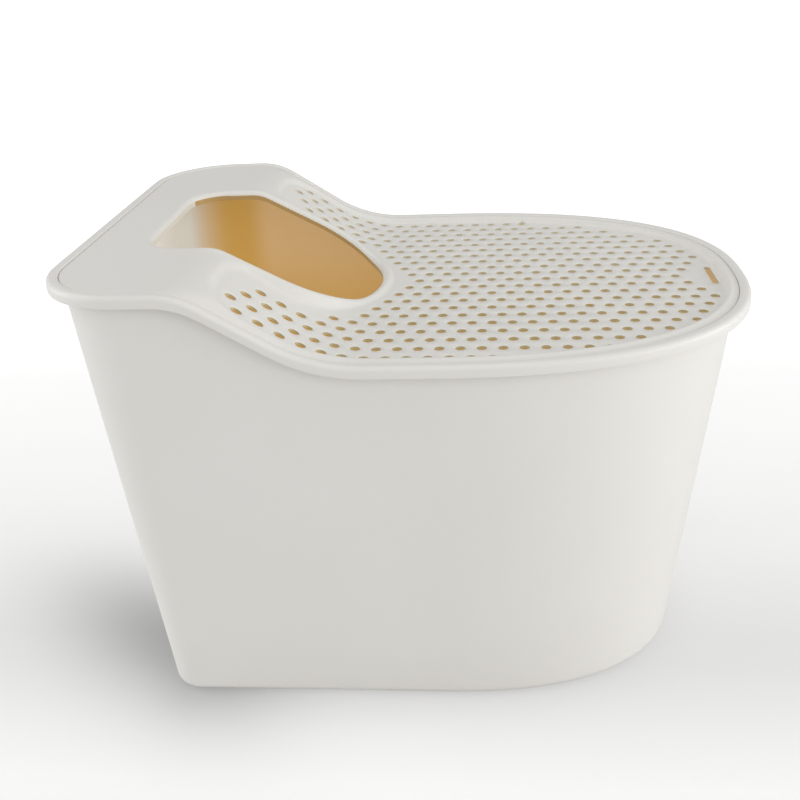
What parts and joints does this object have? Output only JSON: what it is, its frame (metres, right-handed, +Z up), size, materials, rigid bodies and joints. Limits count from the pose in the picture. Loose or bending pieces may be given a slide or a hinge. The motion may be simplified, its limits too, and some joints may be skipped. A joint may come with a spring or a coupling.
{
  "type": "top entry litter box",
  "caption": "Top entry litter box: a tapered D-shaped tub with a rolled rim, and a lift-off lid with a rounded entry opening and a sunk perforated panel that sheds litter.",
  "frame": {"origin": "on the standing surface, under the middle of the object's length and width", "axes": "+X towards the round end, +Y to its left across the width, +Z up"},
  "size_m": [0.53, 0.394, 0.382],
  "materials": {
    "ivory_plastic": "satin ivory white, injection moulded",
    "grey_rubber": "matt"
  },
  "bodies": {
    "tub": {"tub": "ivory_plastic", "foot_back_left": "grey_rubber", "foot_back_right": "grey_rubber", "foot_front_left": "grey_rubber", "foot_front_right": "grey_rubber"},
    "lid": {"lid": "ivory_plastic"}
  },
  "joints": [
    {"name": "lid_lift", "type": "slide", "parent": "tub", "child": "lid", "axis": [0, 0, 1], "range_m": [0, 0.12]}
  ]
}
